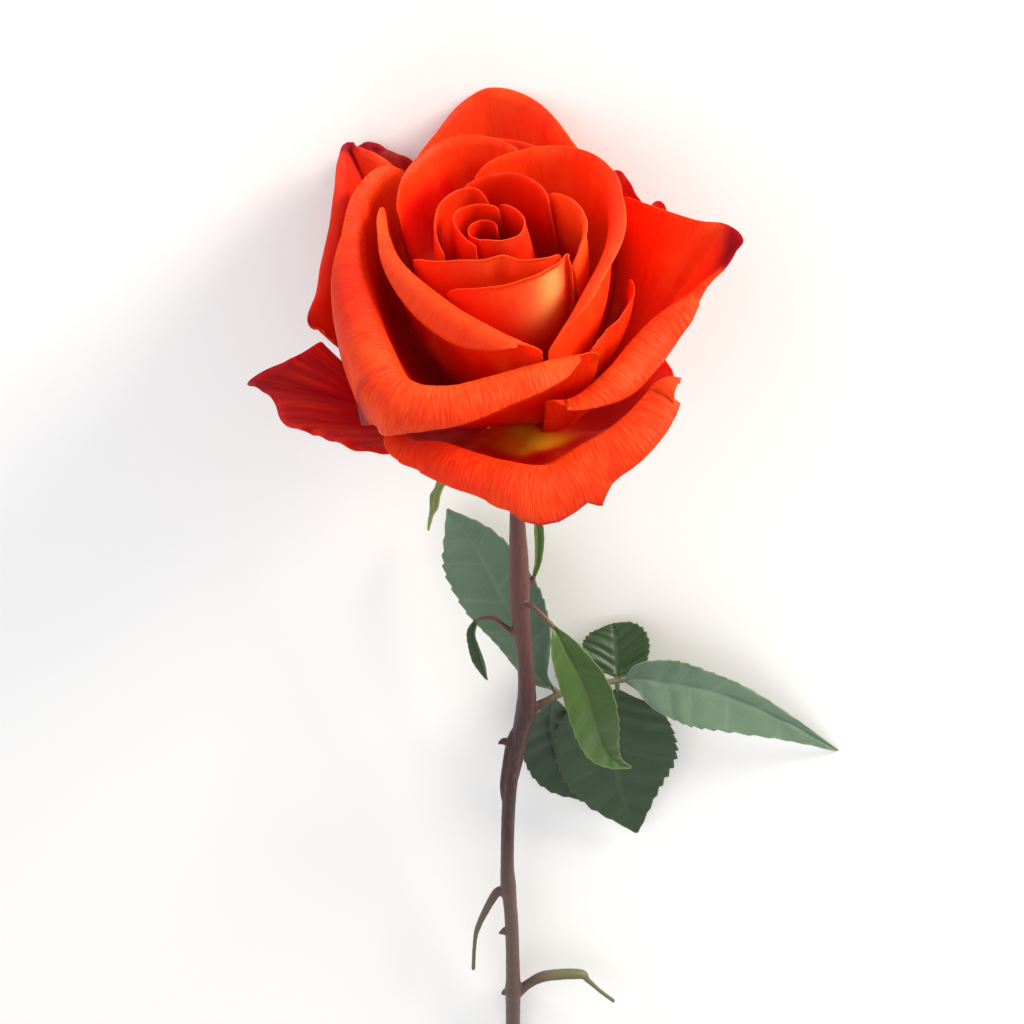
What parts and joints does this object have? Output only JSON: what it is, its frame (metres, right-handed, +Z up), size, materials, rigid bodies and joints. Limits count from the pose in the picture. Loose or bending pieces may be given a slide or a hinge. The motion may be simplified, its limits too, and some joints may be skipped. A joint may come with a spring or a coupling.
{
  "type": "cut rose",
  "caption": "Cut rose lying on its side: an open spiral bloom with outer petals rolled back, turned-back sepals, and a leafy stem with short side shoots and thorns.",
  "frame": {"origin": "bottom centre of the bounding box, on the surface that the rose lies on", "axes": "+Y along the flower from the cut end towards the bloom, +X to the bloom's right as the picture shows it, +Z up"},
  "size_m": [0.1432, 0.3022, 0.0879],
  "materials": {
    "petal_orange_red": "velvety petal, faint sheen",
    "petal_deep_red": "velvety petal, faint sheen",
    "petal_crimson": "dry crimson petal edge",
    "leaf_dark_green": "satin leaf",
    "leaf_grey_green": "satin leaf with a grey sheen",
    "leaf_young_green": "satin young leaf",
    "sepal_green": "dull sepal",
    "stem_bark": "smooth young bark"
  },
  "bodies": {
    "root": {"petal_back_dome": "petal_orange_red", "petal_back_left_tip": "petal_crimson", "petal_left_outer": "petal_orange_red", "petal_left_low": "petal_crimson", "petal_front_low": "petal_orange_red", "petal_right_back": "petal_deep_red", "petal_front_rolled": "petal_orange_red", "petal_right_wide": "petal_orange_red", "petal_right_mid": "petal_orange_red", "petal_back_mid": "petal_orange_red", "petal_back_left": "petal_orange_red", "petal_right_flared": "petal_orange_red", "petal_left_rolled": "petal_orange_red", "petal_front_mid": "petal_orange_red", "petal_right_small": "petal_orange_red", "petal_back_inner": "petal_orange_red", "petal_front_inner": "petal_orange_red", "petal_left_inner": "petal_orange_red", "petal_heart_left": "petal_orange_red", "petal_heart_right": "petal_orange_red", "petal_bud": "petal_deep_red", "leaflet_pair_upper": "leaf_grey_green", "leaflet_pair_lower": "leaf_dark_green", "leaflet_upper": "leaf_dark_green", "leaflet_lower": "leaf_dark_green", "leaflet_end": "leaf_grey_green", "leaf_front": "leaf_young_green", "leaf_curled": "leaf_dark_green", "leaf_bract": "leaf_young_green", "sepal_1": "sepal_green", "sepal_2": "sepal_green", "sepal_3": "sepal_green", "sepal_4": "sepal_green", "sepal_5": "sepal_green", "receptacle": "sepal_green", "stem": "stem_bark"}
  },
  "joints": []
}
